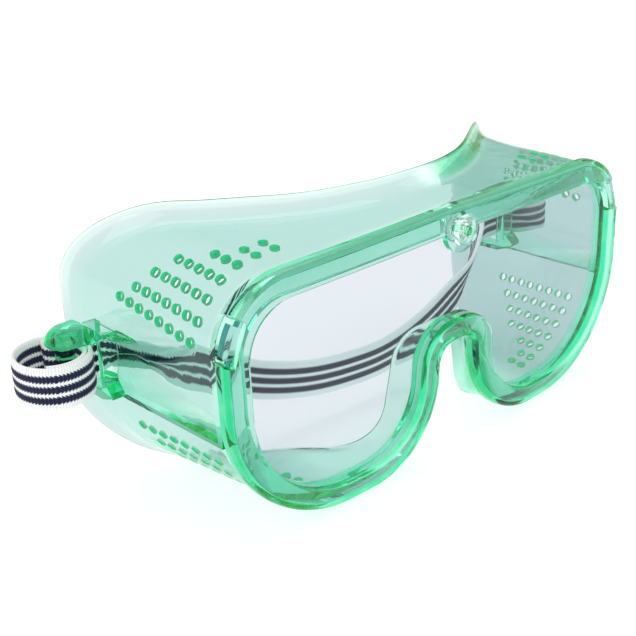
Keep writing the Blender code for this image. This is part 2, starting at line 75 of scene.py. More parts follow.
# Lens and rivet.
LENS_THICKNESS = 2.0
LENS_INSET = 2.6
LENS_FRONT = 2.3
TAB_BOTTOM = 54.4
TAB_TOP = 63.4
TAB_INSET = 0.3
RIVET_HEIGHT = 67.0
RIVET_CLEARANCE = 2.7
RIVET_TAB_RADIUS = 6.4

# Side panels, slots and lugs.
PANEL_BOTTOM = 29.4
PANEL_TOP = 46.8
PANEL_FRONT = 8.0
PANEL_REAR = 50.6
PANEL_FACE = (79.4, 82.8)    # half widths in front and at the rear: lower edge,
PANEL_HEAD = (77.6, 79.4)    # upper edge,
PANEL_ROOT = (77.3, 79.1)    # and the side inside the wall
LUG_ROOT = 79.3
LUG_X = 92.8
LUG_Y = 57.0
POST_RADIUS = 2.6
POST_BOTTOM = 32.4
HOOD_RADIUS = 5.0
HOOD_ROOT = 84.6
HOOD_FRONT = 50.4
HOOD_BOTTOM = 45.1
HOOD_TOP = 50.2
BAR_FRONT = 50.4
BAR_REAR = 52.2
BAR_OUTSIDE = 86.0
FOOT_FRONT = 46.8
FOOT_REAR = 62.0
FOOT_BOTTOM = 27.9
FOOT_TOP = 30.9
WEB_REACH = 9.0          # how far the hood's web runs forwards along the wall
SLOT = (52.6, 61.6, 31.3, 44.7)
WINDOW_DEPTH = 5.6
WINDOW_HALF = (4.3, 3.6, 5.9)

# Vent holes.
VENT_ROWS = (8, 7, 6, 5, 3, 2, 2)
VENT_RADIUS = 1.35
VENT_FIRST_ROW = 17.2
VENT_UPPER_PITCH = 6.0
VENT_LOWER_PITCH = 5.4
VENT_PITCH = 4.3
VENT_FRONT = 17.0
VENT_SPREAD = 0.1
VENT_SETBACK = 2.0
VENT_SIDES = 24
CUT_REACH = 4.5          # half the length of the rods that cut the holes

LIP_SHARE = 0.25         # thickness share of the pale lips, where the colour ramp has its lip

# Set of the soft parts: the rear half sits a little twisted about the depth axis.
TWIST = 0.0225
TWIST_START = 8.0
TWIST_LENGTH = 49.0
TWIST_HEIGHT = 38.0
TWIST_MOST = 1.4
BROW_FLEX = 8.0          # how far the right brow corner of the flange is bent outwards
BROW_DROP = 1.6          # and downwards
REST_FADE = 12.0         # the twist fades out within this height of the floor

# Webbing.
STRAP_WIDTH = 12.5
LOOP_WIDTH = 12.0
STRAP_THICKNESS = 1.3
STRAP_MID_HEIGHT = 38.0
LOOP_X = 96.4
LOOP_RADIUS = 9.2
STRIPE_PITCH = 3.0
STRIPE_HALF = 1.05
STRIPES_HALF = 4.4       # half the width that the three stripes take up
KNOT_PITCH = 0.92
RIB_PITCH = 0.7
WEAVE_STEP = 0.24        # spacing of the mesh along the webbing
ACROSS = 40              # strips across it
STITCH_PASSES = 9
STITCH_HALF = 4.6
THREAD_RADIUS = 0.22

# Studio.
FLOOR_GLOW = 0.62
WORLD_LIGHT = 0.66
LIGHT_BOUNCES = 40       # enough for light to cross every wall of the clear parts
CAMERA_AZIMUTH = 41.1
CAMERA_ELEVATION = 24.0
CAMERA_ROLL = -2.67
CAMERA_SHIFT = (-42.1, 37.31)   # of the view's middle from the object's origin, in mm
CAMERA_DISTANCE = 313.18
CAMERA_LENS = 60.0


# ---------------------------------------------------------------- outlines

def half_outline(half_width, top, bottom, corner, lobe, foot, nose):
    """Half of an outline as (x, z) points, from the top centre to the nose centre."""
    corners = (
        ((half_width, top - RIM_CROWN), corner, 8),
        ((half_width, bottom), lobe, 12),
        ((foot[0], bottom), foot[1], 9),
        ((nose[0], nose[1]), nose[2], 6),
    )
    start, end = Vector((0.0, top)), Vector((0.0, nose[1]))
    vertices = [start] + [Vector(c[0]) for c in corners] + [end]
    straight_steps = (7, 3, 2, 3, 1)
    points = []
    last = start
    for i, (_, radius, steps) in enumerate(corners):
        before = (vertices[i] - vertices[i + 1]).normalized()
        after = (vertices[i + 2] - vertices[i + 1]).normalized()
        half_angle = before.angle(after) / 2.0
        reach = radius / math.tan(half_angle)
        tangent_in = vertices[i + 1] + before * reach
        centre = vertices[i + 1] + (before + after).normalized() * radius / math.sin(half_angle)
        count = straight_steps[i] * FINE
        for k in range(count):
            points.append(last.lerp(tangent_in, k / count))
        arm = tangent_in - centre
        sweep = math.pi - 2.0 * half_angle
        if before.cross(after) > 0:
            sweep = -sweep
        for k in range(steps * FINE):
            points.append(centre + rotated(arm, sweep * k / (steps * FINE)))
        last = centre + rotated(arm, sweep)
    count = straight_steps[-1] * FINE
    for k in range(count):
        points.append(last.lerp(end, k / count))
    points.append(end)
    return points


def rotated(vector, angle):
    c, s = math.cos(angle), math.sin(angle)
    return Vector((vector.x * c - vector.y * s, vector.x * s + vector.y * c))


def closed_outline(half):
    other = [Vector((-p.x, p.y)) for p in reversed(half[1:-1])]
    return half + other


def inward_normals(loop):
    """Unit normals that point into the lens area, one for each point of a closed outline."""
    normals = []
    for i, point in enumerate(loop):
        ahead = (loop[(i + 1) % len(loop)] - point).normalized()
        behind = (point - loop[i - 1]).normalized()
        along = (ahead + behind).normalized()
        normals.append(Vector((along.y, -along.x)))
    return normals


def rim_outline():
    return closed_outline(half_outline(RIM_HALF_WIDTH, RIM_HEIGHT, 0.0, RIM_TOP_CORNER, 37.7,
                                       (9.75, 27.0), (7.15, 33.7, 5.5)))


def crease_outline():
    return closed_outline(half_outline(80.6, CREASE_TOP, 1.0, 22.0, 26.0,
                                       (14.0, 20.0), (9.5, 34.5, 7.5)))


def flange_outline():
    return closed_outline(half_outline(82.0, FLANGE_TOP, 0.0, 25.0, 24.0,
                                       (17.0, 17.0), (11.0, 34.5, 9.0)))


def lens_curve(x):
    """How far the lens and rim fall back at x from the middle."""
    return x * x / (2.0 * LENS_RADIUS)


def face_depth(x):
    """Depth of the flange's rear edge at x from the middle."""
    return FACE_DEPTH_CENTRE + FACE_CURVE * x * x


def rear_depth(spot):
    """Depth of the rear edge at a spot of the outline, which is shallower round the nose."""
    nose = fade(16.0, 40.0, abs(spot.x)) * fade(42.0, 58.0, spot.y)
    return face_depth(spot.x) - NOSE_RELIEF * nose


# ---------------------------------------------------------------- mesh helpers

def place(x, y, z):
    return Vector((x, y - CENTRE_Y, z)) * MM


def smoothstep(low, high, value):
    share = min(max((value - low) / (high - low), 0.0), 1.0)
    return share * share * (3.0 - 2.0 * share)


def fade(low, high, value):
    return 1.0 - smoothstep(low, high, value)


def settled(point):
    """A point of the soft parts, in metres, moved to where the rear twist puts it."""
    x, y, z = point.x / MM, point.y / MM + CENTRE_Y, point.z / MM
    share = min(max((y - TWIST_START) / TWIST_LENGTH, 0.0), TWIST_MOST)
    angle = TWIST * share
    rise = -x * angle
    if rise < 0.0:
        rise *= smoothstep(0.0, REST_FADE, z)
    flex = smoothstep(30.0, 75.0, x) * smoothstep(32.0, 66.0, y) * smoothstep(46.0, 70.0, z)
    return place(x + (z - TWIST_HEIGHT) * angle + BROW_FLEX * flex, y,
                 z + rise - BROW_DROP * flex)


def add_loft(bm, rings, closed=True):
    """Skins rings of equal size; an open loft gets a flat cap at each end. Gives the vertices."""
    rows = [[bm.verts.new(p) for p in ring] for ring in rings]
    count = len(rows[0])
    pairs = list(zip(rows, rows[1:]))
    if closed:
        pairs.append((rows[-1], rows[0]))
    for one, two in pairs:
        for k in range(count):
            after = (k + 1) % count
            bm.faces.new((one[k], one[after], two[after], two[k]))
    if not closed:
        bm.faces.new(reversed(rows[0]))
        bm.faces.new(rows[-1])
    return rows


def solid(rings, closed=False):
    """A new bmesh with one loft in it."""
    bm = bmesh.new()
    add_loft(bm, rings, closed)
    return bm


def circle(count, start=0.0):
    """Cosines and sines of equal steps round a circle, the first one a share of a step in."""
    angles = [2.0 * math.pi * (k + start) / count for k in range(count)]
    return [(math.cos(angle), math.sin(angle)) for angle in angles]


def add_rod(bm, centre, direction, radius, half_length, sides):
    turn = Vector((0.0, 0.0, 1.0)).rotation_difference(Vector(direction)).to_matrix()
    rings = []
    for end in (-half_length, half_length):
        spokes = [Vector((radius * c, radius * s, end)) for c, s in circle(sides, 0.5)]
        rings.append([place(*(Vector(centre) + turn @ spoke)) for spoke in spokes])
    add_loft(bm, rings, closed=False)


def add_block(bm, centre, half, turn):
    for vert in bmesh.ops.create_cube(bm, size=2.0)["verts"]:
        corner = Vector((vert.co.x * half[0], vert.co.y * half[1], vert.co.z * half[2]))
        vert.co = place(*(Vector(centre) + turn @ corner))


def new_object(name, bm, mat, sharp=35.0):
    """A smooth-shaded object from a bmesh whose faces are turned outwards."""
    bmesh.ops.recalc_face_normals(bm, faces=bm.faces)
    mesh = bpy.data.meshes.new(name)
    bm.to_mesh(mesh)
    bm.free()
    if mat:
        mesh.materials.append(mat)
    finish_shading(mesh, sharp)
    obj = bpy.data.objects.new(name, mesh)
    bpy.context.scene.collection.objects.link(obj)
    return obj


def finish_shading(mesh, sharp):
    mesh.shade_smooth()
    mesh.set_sharp_from_angle(angle=math.radians(sharp))


def apply_modifiers(obj):
    """Replaces an object's mesh by what its modifiers make of it, and drops them."""
    seen = obj.evaluated_get(bpy.context.evaluated_depsgraph_get())
    mesh = bpy.data.meshes.new_from_object(seen)
    obj.modifiers.clear()
    obj.data = mesh
    return mesh


def bevel(obj, width, segments):
    modifier = obj.modifiers.new("rounding", "BEVEL")
    modifier.width = width * MM
    modifier.segments = segments
    modifier.limit_method = "ANGLE"
    modifier.angle_limit = math.radians(40.0)


def combine(target, tools, operation):
    """Joins or cuts a list of solid objects, one after another, and removes them."""
    for tool in tools:
        modifier = target.modifiers.new(tool.name, "BOOLEAN")
        modifier.operation = operation
        modifier.solver = "MANIFOLD"
        modifier.material_mode = "TRANSFER"
        modifier.object = tool
    apply_modifiers(target)
    for tool in tools:
        bpy.data.objects.remove(tool, do_unlink=True)


# ---------------------------------------------------------------- frame

def fillet(before, corner, after, radius):
    """Four points that round a corner of a section."""
    to_before, to_after = before - corner, after - corner
    one = corner + to_before.normalized() * min(radius, to_before.length * 0.45)
    two = corner + to_after.normalized() * min(radius, to_after.length * 0.45)
    points = []
    for share in (0.0, 0.33, 0.67, 1.0):
        points.append(one.lerp(corner, share).lerp(corner.lerp(two, share), share))
    return points


def frame_ring(rim, rim_normal, crease, crease_normal, flange, flange_normal):
    """One cross-section of the frame: rim channel, side wall and flared face flange."""
    def on_rim(inset, depth, radius=0.35):
        spot = rim + rim_normal * inset
        return place(spot.x, depth + lens_curve(spot.x), spot.y), radius

    def on_wall(share, inset, radius=0.0):
        start = rim + rim_normal * (WALL_INSET + inset)
        end = crease + crease_normal * inset
        spot = start.lerp(end, share)
        front = RIM_DEPTH + 1.2 + lens_curve(start.x)
        rear = rear_depth(end) - FLANGE_DEPTH
        return place(spot.x, front + (rear - front) * share, spot.y), radius

    def on_flare(share, inset, edge_inset):
        """Between the crease and the rear edge, on a curve that turns outwards."""
        start, _ = on_wall(1.0, inset)
        ahead, _ = on_wall(0.8, inset)
        end, _ = on_flange(edge_inset, 0.7)
        control = start + (start - ahead).normalized() * (end - start).length * 0.45
        return start.lerp(control, share).lerp(control.lerp(end, share), share), 0.0

    def on_flange(inset, back, radius=0.3):
        spot = flange + flange_normal * inset
        return place(spot.x, rear_depth(spot) - back, spot.y), radius

    wall_shares = (0.06, 0.2, 0.35, 0.5, 0.65, 0.8, 0.92, 1.0)
    corners = [
        on_rim(LIP_INSET, GROOVE_FRONT, 0.15), on_rim(LIP_INSET, 0.5, 0.5),
        on_rim(LIP_INSET - 0.5, 0.0, 0.5), on_rim(4.2, -0.12, 0.6), on_rim(2.4, 0.0, 0.8),
        on_rim(0.7, 0.7, 0.8), on_rim(0.0, 2.4, 0.8), on_rim(0.0, RIM_DEPTH - 0.4, 0.5),
        on_rim(0.4, RIM_DEPTH, 0.3), on_rim(WALL_INSET, RIM_DEPTH + 0.2, 0.4),
    ]
    corners += [on_wall(share, 0.0) for share in wall_shares]
    corners += [on_flare(share, 0.0, 0.0) for share in (0.3, 0.6, 0.85)]
    corners += [on_flange(0.0, 0.7), on_flange(0.5, 0.0), on_flange(FLANGE_THICKNESS, 0.4)]
    corners += [on_flare(share, WALL, FLANGE_THICKNESS) for share in (0.85, 0.6, 0.3)]
    corners += [on_wall(share, WALL) for share in reversed(wall_shares)]
    corners += [
        on_rim(LIP_INSET, BACK_LIP_DEPTH), on_rim(LIP_INSET, GROOVE_BACK, 0.15),
        on_rim(GROOVE_INSET, GROOVE_BACK, 0.15), on_rim(GROOVE_INSET, GROOVE_FRONT, 0.15),
    ]
    ring = []
    for i, (point, radius) in enumerate(corners):
        if radius == 0.0:
            ring.append(point)
        else:
            after = corners[(i + 1) % len(corners)][0]
            ring += fillet(corners[i - 1][0], point, after, radius * MM)
    return ring


def frame_shell():
    outlines = (rim_outline(), crease_outline(), flange_outline())
    normals = [inward_normals(loop) for loop in outlines]
    rings = []
    for i in range(len(outlines[0])):
        stations = []
        for loop, normal in zip(outlines, normals):
            stations += [loop[i], normal[i]]
        rings.append(frame_ring(*stations))
    return solid(rings, closed=True)


def side_panel(side):
    """The panel stands out at its lower edge and runs into the wall at its top."""
    rings = []
    for face, height in ((PANEL_FACE, PANEL_BOTTOM), (PANEL_HEAD, PANEL_TOP)):
        outline = ((face[0], PANEL_FRONT), (face[1], PANEL_REAR),
                   (PANEL_ROOT[1], PANEL_REAR), (PANEL_ROOT[0], PANEL_FRONT))
        rings.append([place(side * x, y, height) for x, y in outline])
    return solid(rings)


def ledge(side):
    """The web which runs from the wall out to the hood, and closes the slot's top."""
    end = HOOD_ROOT + 1.5
    outline = ((LUG_ROOT, HOOD_FRONT - WEB_REACH), (HOOD_ROOT, HOOD_FRONT + 0.4),
               (end, HOOD_FRONT + 1.2), (end, FOOT_REAR), (LUG_ROOT, FOOT_REAR))
    return solid([[place(side * x, y, z) for x, y in outline]
                  for z in (HOOD_BOTTOM, PANEL_TOP - 0.1)])


def hood(side):
    """The lug's dome, from its underside to its top."""
    outline = [Vector((side * HOOD_ROOT, HOOD_FRONT)),
               Vector((side * (HOOD_ROOT + 2.5), HOOD_FRONT))]
    for k in range(25):
        angle = math.radians(-85.0 + 175.0 * k / 24.0)
        outline.append(Vector((side * (LUG_X + HOOD_RADIUS * math.cos(angle)),
                               LUG_Y + HOOD_RADIUS * math.sin(angle))))
    outline.append(Vector((side * HOOD_ROOT, FOOT_REAR)))
    middle = Vector((side * (HOOD_ROOT + LUG_X + HOOD_RADIUS) / 2.0, LUG_Y))
    rings = []
    for step in range(13):
        angle = math.radians(6.5 * step)
        height = HOOD_BOTTOM + (HOOD_TOP - HOOD_BOTTOM) * math.sin(angle)
        rings.append([place(*p.lerp(middle, 1.0 - math.cos(angle)), height) for p in outline])
    return solid(rings)


def post(side):
    """The lug's post, round at its lower end and sunk in the hood at its upper one."""
    profile = ((0.0, 0.4), (0.15, 0.62), (0.5, 0.82), (1.0, 0.94), (1.6, 1.0),
               (HOOD_TOP - 2.5 - POST_BOTTOM, 1.0))
    return solid([[place(side * LUG_X + radius * POST_RADIUS * c,
                         LUG_Y + radius * POST_RADIUS * s, POST_BOTTOM + height)
                   for c, s in circle(32)] for height, radius in profile])


def bar_and_foot(side):
    """The upright bar beside the slot and the foot which turns outwards under the strap."""
    top = HOOD_BOTTOM + 0.5
    profile = (
        (BAR_FRONT, top), (BAR_FRONT, FOOT_TOP + 3.2), (FOOT_FRONT, FOOT_TOP),
        (FOOT_FRONT, FOOT_TOP - 1.2), (BAR_REAR, FOOT_BOTTOM), (FOOT_REAR, FOOT_BOTTOM),
        (FOOT_REAR, FOOT_TOP), (BAR_REAR, FOOT_TOP), (BAR_REAR, top),
    )
    return solid([[place(side * x, y, z) for y, z in profile] for x in (LUG_ROOT, BAR_OUTSIDE)])


def rivet_tab():
    """The half-round tab in the top middle of the lip."""
    points = []
    for k in range(33):
        angle = math.pi + math.pi * k / 32.0
        points.append((RIVET_TAB_RADIUS * math.cos(angle),
                       RIVET_HEIGHT + RIVET_TAB_RADIUS * math.sin(angle)))
    points += [(RIVET_TAB_RADIUS, RIVET_HEIGHT + 2.0), (-RIVET_TAB_RADIUS, RIVET_HEIGHT + 2.0)]
    return solid([[place(x, y, z) for x, z in points] for y in (0.1, GROOVE_FRONT - 0.05)])


def wall_section(depth):
    """The right wall cut at a depth: (point, inward normal) pairs from the top centre down."""
    rim, crease = rim_outline(), crease_outline()
    rim_normals, crease_normals = inward_normals(rim), inward_normals(crease)
    section = []
    for i in range(len(rim) // 2):
        start = rim[i] + rim_normals[i] * WALL_INSET
        front = RIM_DEPTH + lens_curve(start.x)
        rear = face_depth(crease[i].x) - FLANGE_DEPTH
        share = min((depth - front) / (rear - front), 1.0)
        inward = rim_normals[i].lerp(crease_normals[i], share).normalized()
        section.append((start.lerp(crease[i], share), inward))
    return section


def along_section(section, distance):
    """The spot and inward normal at a distance along a section, in mm."""
    for (one, inward_one), (two, inward_two) in zip(section, section[1:]):
        step = (two - one).length
        if step >= distance:
            share = distance / step
            return one.lerp(two, share), inward_one.lerp(inward_two, share)
        distance -= step
    return section[-1]


def vent_spot(upper, distance, depth):
    """A hole's middle, so far above or below the middle of the rim's height."""
    section = wall_section(depth)
    middle = next(i for i, (p, _) in enumerate(section) if p.y < RIM_HEIGHT / 2.0)
    below = RIM_HEIGHT / 2.0 - section[middle][0].y
    if upper:
        spot, inward = along_section(section[middle::-1], distance + below)
    else:
        spot, inward = along_section(section[middle:], distance - below)
    return Vector((spot.x, depth, spot.y)), inward


def vent_positions():
    holes = []
    for row, count in enumerate(VENT_ROWS):
        for k in range(count):
            depth = VENT_FRONT + VENT_PITCH * k
            spread = VENT_SPREAD * VENT_PITCH * k / (row + 1)
            setback = VENT_SETBACK / (row + 1) ** 2
            distance = VENT_FIRST_ROW + spread + VENT_UPPER_PITCH * row
            holes.append(vent_spot(True, distance, depth + setback))
            holes.append(vent_spot(False, VENT_FIRST_ROW + 1.0 + VENT_LOWER_PITCH * row, depth))
    return holes


def vents():
    bm = bmesh.new()
    for centre, inward in vent_positions():
        for _, side in SIDES:
            spot = (side * centre.x, centre.y, centre.z)
            add_rod(bm, spot, (side * inward.x, 0.0, inward.y), VENT_RADIUS, CUT_REACH,
                    VENT_SIDES)
    return bm


def slots():
    bm = bmesh.new()
    centre = ((SLOT[0] + SLOT[1]) / 2.0, (SLOT[2] + SLOT[3]) / 2.0)
    half = ((SLOT[1] - SLOT[0]) / 2.0, (SLOT[3] - SLOT[2]) / 2.0)
    for _, side in SIDES:
        add_block(bm, (side * LUG_ROOT, *centre), (3.0, *half), Matrix.Identity(3))
    return bm


def tab_windows():
    """The windows in the rim's flank through which the lens's corner tabs show."""
    bm = bmesh.new()
    corner_x = RIM_HALF_WIDTH - RIM_TOP_CORNER
    corner_z = RIM_HEIGHT - RIM_CROWN - RIM_TOP_CORNER
    tab_angle = math.asin(((TAB_BOTTOM + TAB_TOP) / 2.0 - corner_z) / RIM_TOP_CORNER)
    reach = RIM_TOP_CORNER + 1.0
    for _, side in SIDES:
        spot = (side * (corner_x + reach * math.cos(tab_angle)), WINDOW_DEPTH,
                corner_z + reach * math.sin(tab_angle))
        add_block(bm, spot, WINDOW_HALF, Matrix.Rotation(-side * tab_angle, 3, "Y"))
    return bm


def rivet_holes():
    """The rivet's hole in the front lip, and the wider room for its foot behind the lens."""
    bm = bmesh.new()
    add_rod(bm, (0.0, 1.0, RIVET_HEIGHT), (0, 1, 0), RIVET_CLEARANCE, 1.5, 40)
    add_rod(bm, (0.0, 6.0, RIVET_HEIGHT), (0, 1, 0), 5.0, 1.6, 40)
    return bm


def make_tool(name, bm, mat, rounding=0.0):
    """A solid to join or cut with, its edges rounded by so many mm."""
    tool = new_object(name, bm, mat)
    if rounding:
        bevel(tool, rounding, 3)
    return tool


def make_frame(mat, bore_mat):
    """The soft one-piece frame, with its panels, lugs, windows and holes."""
    obj = new_object("goggle_frame", frame_shell(), mat)
    added = []
    for name, side in SIDES:
        for part, rounding in ((side_panel, 0.0), (ledge, 0.6), (hood, 0.5), (post, 0.0),
                               (bar_and_foot, 0.4)):
            added.append(make_tool(part.__name__ + name, part(side), mat, rounding))
    added.append(make_tool("tab", rivet_tab(), mat))
    combine(obj, added, "UNION")
    combine(obj, [make_tool("slots", slots(), mat),
                  make_tool("tab_windows", tab_windows(), mat, 0.6),
                  make_tool("rivet_holes", rivet_holes(), mat),
                  make_tool("vents", vents(), bore_mat)], "DIFFERENCE")
    settle_frame(obj.data)
    finish_shading(obj.data, 32.0)
    return obj


def depth_and_glow_share(point, tree, loop, normals):
    """How much deeper a spot's green is: the bead, nose and lugs for their depth, while the upper
    rear edge and the right brow get painted light, a green glow standing in for light that
    internal reflection gathers there.
    """
    x, y, z = point.x / MM, point.y / MM + CENTRE_Y, point.z / MM
    _, index, _ = tree.find((x, z, 0.0))
    inset = (Vector((x, z)) - loop[index]).dot(normals[index])
    depth = y - lens_curve(x)
    back = y - face_depth(x)
    flank = fade(0.6, 1.8, inset) * fade(5.2, 7.2, depth) * (1.0 - 0.4 * smoothstep(56.0, 66.0, z))
    nose = fade(12.0, 24.0, abs(x)) * fade(36.0, 42.0, z)
    nose *= fade(6.0, 14.0, depth) * fade(1.5, 4.0, inset)
    lug = 0.6 * smoothstep(84.2, 86.5, abs(x)) * smoothstep(46.0, 50.0, y)
    # Painted light: a green glow along the upper rear edge, standing in for light gathered there
    # by internal reflection.
    edge = 0.3 * smoothstep(-1.5, -0.5, back) * smoothstep(40.0, 60.0, z)
    # Painted light: deeper green by the rear edge of the right brow only, standing in for light
    # that internal reflection gathers on that side.
    painted_brow_glow = smoothstep(-7.0, -4.0, back) * smoothstep(0.0, 20.0, x) * smoothstep(60.0, 68.0, z)
    lip = LIP_SHARE * fade(6.8, 8.0, depth)
    low_wall = LIP_SHARE * fade(34.0, 54.0, abs(x)) * fade(44.0, 56.0, z)
    return max(flank, nose, lug, edge, 0.85 * painted_brow_glow, lip, low_wall)


def settle_frame(mesh):
    """Twists the rear and gives the thin walls the slight waviness of a soft moulding."""
    loop = rim_outline()
    normals = inward_normals(loop)
    tree = kdtree.KDTree(len(loop))
    for i, point in enumerate(loop):
        tree.insert((point.x, point.y, 0.0), i)
    tree.balance()
    noise.seed_set(WAVE_SEED)
    # Stores how much deeper each spot's green is: for its depth, and as painted light along the
    # upper rear edge and the right brow.
    depth_and_painted_glow = mesh.attributes.new("depth_and_painted_glow", "FLOAT", "POINT")
    for vert in mesh.vertices:
        depth_and_painted_glow.data[vert.index].value = depth_and_glow_share(vert.co, tree, loop, normals)
        co = settled(vert.co)
        rear = smoothstep(6.0, 30.0, co.y / MM + CENTRE_Y)
        wave = noise.noise_vector(co / MM / WAVE_LENGTH)
        vert.co = co + wave * rear * WAVINESS * MM


# ---------------------------------------------------------------- lens and rivet

def lens_outline():
    """The lens's edge, inside the groove, with a tab that reaches out at each upper corner."""
    loop = rim_outline()
    normals = inward_normals(loop)
    in_tab = [TAB_BOTTOM < p.y < TAB_TOP and abs(p.x) > RIM_HALF_WIDTH / 2.0 for p in loop]
    points = []
    for i, (point, normal) in enumerate(zip(loop, normals)):
        inner = point + normal * LENS_INSET
        outer = point + normal * TAB_INSET
        if not in_tab[i]:
            points.append(inner)
        elif not in_tab[i - 1]:
            points += [inner, outer]
        elif not in_tab[(i + 1) % len(loop)]:
            points += [outer, inner]
        else:
            points.append(outer)
    return points


def make_lens(mat):
    bm = bmesh.new()
    bm.faces.new([bm.verts.new((p.x * MM, 0.0, p.y * MM)) for p in lens_outline()])
    for k in range(-39, 40):
        geometry = bm.verts[:] + bm.edges[:] + bm.faces[:]
        bmesh.ops.bisect_plane(bm, geom=geometry, dist=1e-7,
                               plane_co=(k * 2.0 * MM, 0, 0), plane_no=(1, 0, 0))
    made = bmesh.ops.extrude_face_region(bm, geom=bm.faces[:])["geom"]
    for item in made:
        if isinstance(item, bmesh.types.BMVert):
            item.co.y = LENS_THICKNESS * MM
    obj = new_object("lens_sheet", bm, mat)
    hole = bmesh.new()
    add_rod(hole, (0.0, CENTRE_Y + 1.0, RIVET_HEIGHT), (0, 1, 0), RIVET_CLEARANCE, 3.0, 40)
    combine(obj, [new_object("lens_hole", hole, None)], "DIFFERENCE")
    for vert in obj.data.vertices:
        vert.co.y += (LENS_FRONT + lens_curve(vert.co.x / MM) - CENTRE_Y) * MM
    finish_shading(obj.data, 35.0)
    return obj


def turned(name, profile, mat):
    """A ring turned about the rivet's axis from a closed profile of (radius, depth) points."""
    corners = [Vector((r, y, 0.0)) for r, y in profile]
    rounded = []
    for i, corner in enumerate(corners):
        rounded += fillet(corners[i - 1], corner, corners[(i + 1) % len(corners)], 0.3)
    rings = [[place(p.x * c, p.y, RIVET_HEIGHT + p.x * s) for p in rounded]
             for c, s in circle(64)]
    return new_object(name, solid(rings, closed=True), mat)


def make_rivet(mat):
    """The clear collar: a domed head, a stem through lip and lens, and a foot behind."""
    back = LENS_FRONT + LENS_THICKNESS + 0.3
    return turned("rivet_collar", (
        (1.4, -1.2), (2.0, -1.7), (2.8, -1.6), (3.8, -1.2), (4.4, -0.6), (4.4, -0.3),
        (2.4, -0.3), (2.4, back), (4.0, back), (3.6, back + 1.1), (1.4, back + 1.2)), mat)


def make_pin(mat):
    """The centre pin that is pulled forwards to free the lens, with a dimpled head."""
    profile = ((0.5, -2.75), (0.9, -2.9), (1.25, -3.0), (1.5, -2.92), (1.7, -2.7), (1.7, -2.1),
               (1.6, -2.0), (1.05, -2.0), (1.05, 5.2), (0.95, 5.45), (0.75, 5.6))
    rings = [[place(radius * c, depth, RIVET_HEIGHT + radius * s) for c, s in circle(40)]
             for radius, depth in profile]
    return new_object("pull_pin", solid(rings), mat)


# ---------------------------------------------------------------- webbing

def smooth_line(points, steps):
    """Points along a Catmull-Rom curve through the given ones."""
    ends = [points[0] * 2 - points[1]] + points + [points[-1] * 2 - points[-2]]
    line = []
    for a, b, c, d in zip(ends, ends[1:], ends[2:], ends[3:]):
        for k in range(steps):
            t = k / steps
            line.append(0.5 * (b * 2 + (c - a) * t + (a * 2 - b * 5 + c * 4 - d) * t * t
                               + (b * 3 - a - c * 3 + d) * t * t * t))
    line.append(points[-1])
    return line


def evenly(line, step):
    """The same line with points an equal step apart."""
    out = [line[0]]
    left = step
    for one, two in zip(line, line[1:]):
        length = (two - one).length
        done = 0.0
        while length - done >= left:
            done += left
            out.append(one.lerp(two, done / length))
            left = step
        left -= length - done
    return out


def heading(line, i):
    """Unit direction of a line at one of its points."""
    return (line[min(i + 1, len(line) - 1)] - line[max(i - 1, 0)]).normalized()


def relief(u, v):
    """Height of the weave above the webbing's face, in mm, at u along and v across."""
    offset = math.remainder(v, STRIPE_PITCH)
    if abs(offset) < STRIPE_HALF and abs(v) < STRIPES_HALF:
        phase = u / KNOT_PITCH + 0.9 * abs(offset) / STRIPE_HALF
        crest = abs(math.sin(math.pi * phase))
        return 0.16 * crest * math.sqrt(1.0 - (offset / STRIPE_HALF) ** 2)
    return 0.03 * abs(math.sin(math.pi * u / RIB_PITCH)) - 0.02


def webbing(name, line, mat, width, thickness, up_of, start=0.0):
    """Woven tape along a line; up_of(u, total) gives its roll in radians and width share."""
    points = evenly(line, WEAVE_STEP)
    total = (len(points) - 1) * WEAVE_STEP
    rings = []
    shares = [k / ACROSS * 2.0 - 1.0 for k in range(ACROSS + 1)]
    for i, spot in enumerate(points):
        along = heading(points, i)
        flat = Vector((along.y, -along.x, 0.0)).normalized()
        up = along.cross(flat)
        if up.z < 0:
            up = -up
        roll, narrow, pleat = up_of(i * WEAVE_STEP, total)
        turn = Matrix.Rotation(roll, 3, along)
        out, up = turn @ flat, turn @ up
        u = start + i * WEAVE_STEP
        ring = []
        for face in (1.0, -1.0):
            for share in (shares if face > 0 else reversed(shares)):
                v = share * width / 2.0
                edge = math.sqrt(max(1.0 - abs(share) ** 14, 0.0)) * 0.5 * thickness
                height = face * (edge + relief(u, v) * (1.0 if abs(share) < 0.97 else 0.0))
                fold = pleat * math.sin(share * math.pi * 1.5) * width / 6.0
                ring.append((spot + up * v * narrow + out * (height + fold), (u, v)))
        rings.append(ring)
    bm = bmesh.new()
    layer = bm.loops.layers.uv.new("weave")
    rows = add_loft(bm, [[settled(place(*point)) for point, _ in ring] for ring in rings],
                    closed=False)
    where = {vert: uv for row, ring in zip(rows, rings) for vert, (_, uv) in zip(row, ring)}
    for face in bm.faces:
        for corner in face.loops:
            corner[layer].uv = where[corner.vert]
    bmesh.ops.remove_doubles(bm, verts=bm.verts, dist=1e-7)
    return new_object(name, bm, mat, 60.0)


BAND_ROUTE = (
    (-84.9, 57.0, 38.0), (-79.5, 56.9, 38.0), (-76.0, 56.3, 37.2), (-70.0, 55.3, 34.2),
    (-62.0, 54.0, 30.0), (-50.0, 52.0, 24.0), (-36.0, 48.0, 17.8), (-20.0, 45.0, 13.6),
    (-4.0, 43.0, 12.0), (12.0, 42.0, 12.3), (28.0, 41.5, 16.5), (43.0, 42.0, 23.2),
    (54.0, 44.5, 29.0), (63.0, 49.0, 34.0), (70.0, 53.6, 36.9), (76.0, 56.2, 38.0),
    (79.5, 56.9, 38.0), (84.9, 57.0, 38.0),
)


